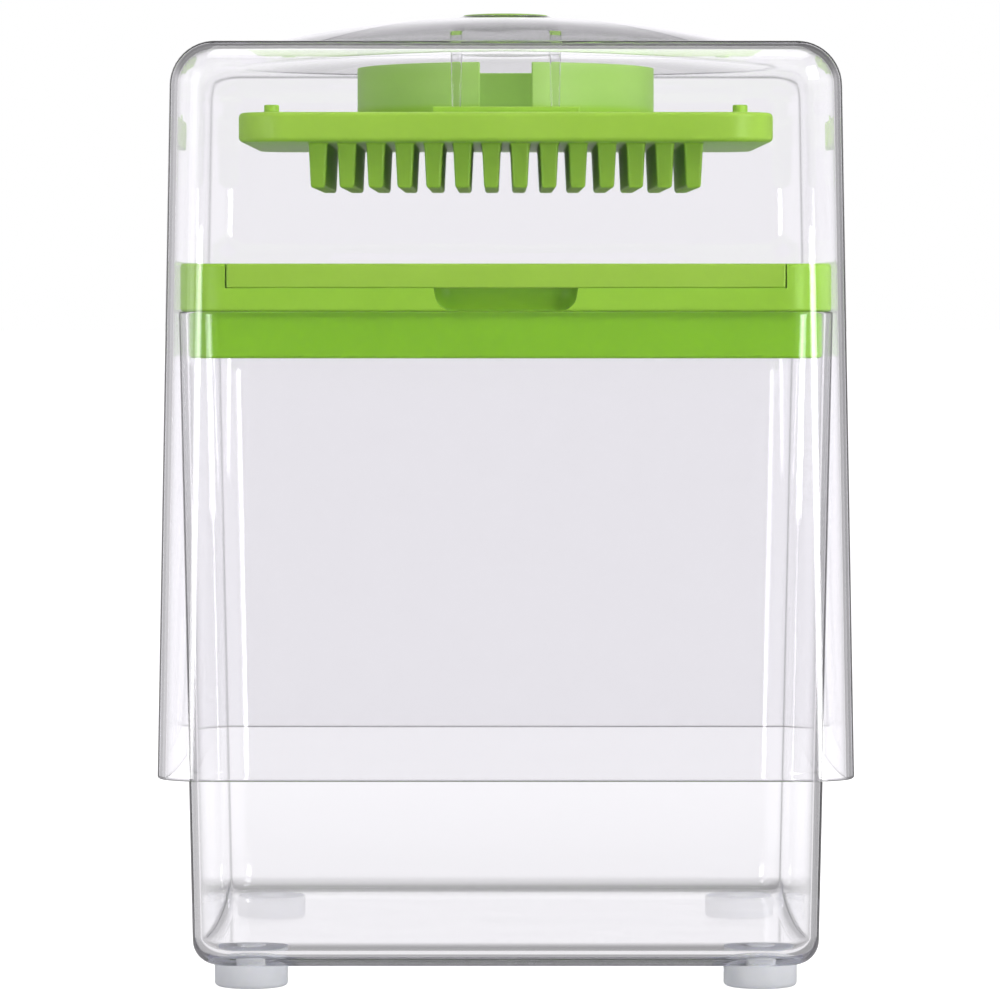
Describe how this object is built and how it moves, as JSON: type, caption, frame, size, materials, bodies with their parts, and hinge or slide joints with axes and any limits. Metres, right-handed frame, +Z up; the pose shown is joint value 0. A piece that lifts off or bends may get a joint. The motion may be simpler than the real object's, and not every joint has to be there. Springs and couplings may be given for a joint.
{
  "type": "push-down vegetable slicer",
  "caption": "Push-down tower slicer: a clear hood drives a pin plate through a steel grid in a green collar, so that food falls as sticks into a clear square container.",
  "frame": {"origin": "centre of the underside of the four feet, on the surface the slicer stands on", "axes": "+Z up along the push direction, -Y out of the front with the finger notch, +X to the right seen from the front"},
  "size_m": [0.1428, 0.1428, 0.2026],
  "materials": {
    "clear_container": "clear polished moulding",
    "soft_foot": "translucent satin silicone",
    "green_collar": "semi-gloss moulded",
    "green_insert": "semi-gloss moulded",
    "blade_steel": "fine rolled strip with a ground edge",
    "green_pusher": "semi-gloss moulded",
    "clear_hood": "clear polished moulding",
    "green_badge": "semi-gloss moulded"
  },
  "bodies": {
    "base": {"container": "clear_container", "foot_front_left": "soft_foot", "foot_front_right": "soft_foot", "foot_rear_left": "soft_foot", "foot_rear_right": "soft_foot"},
    "collar": {"collar_frame": "green_collar"},
    "insert": {"insert_frame": "green_insert", "blade_x1": "blade_steel", "blade_x2": "blade_steel", "blade_x3": "blade_steel", "blade_x4": "blade_steel", "blade_x5": "blade_steel", "blade_x6": "blade_steel", "blade_y1": "blade_steel", "blade_y2": "blade_steel", "blade_y3": "blade_steel", "blade_y4": "blade_steel", "blade_y5": "blade_steel", "blade_y6": "blade_steel"},
    "pusher": {"pusher_plate": "green_pusher", "pusher_ring_left": "green_pusher", "pusher_ring_right": "green_pusher"},
    "hood": {"hood": "clear_hood", "hood_badge": "green_badge"}
  },
  "joints": [
    {"name": "collar_lift", "type": "slide", "parent": "base", "child": "collar", "axis": [0, 0, 1], "range_m": [0, 0.012]},
    {"name": "insert_lift", "type": "slide", "parent": "collar", "child": "insert", "axis": [0, 0, 1], "range_m": [0, 0.012]},
    {"name": "press", "type": "slide", "parent": "insert", "child": "pusher", "axis": [0, 0, 1], "range_m": [-0.0245, 0.11]},
    {"name": "hood_lift", "type": "slide", "parent": "pusher", "child": "hood", "axis": [0, 0, 1], "range_m": [0, 0.02]}
  ]
}
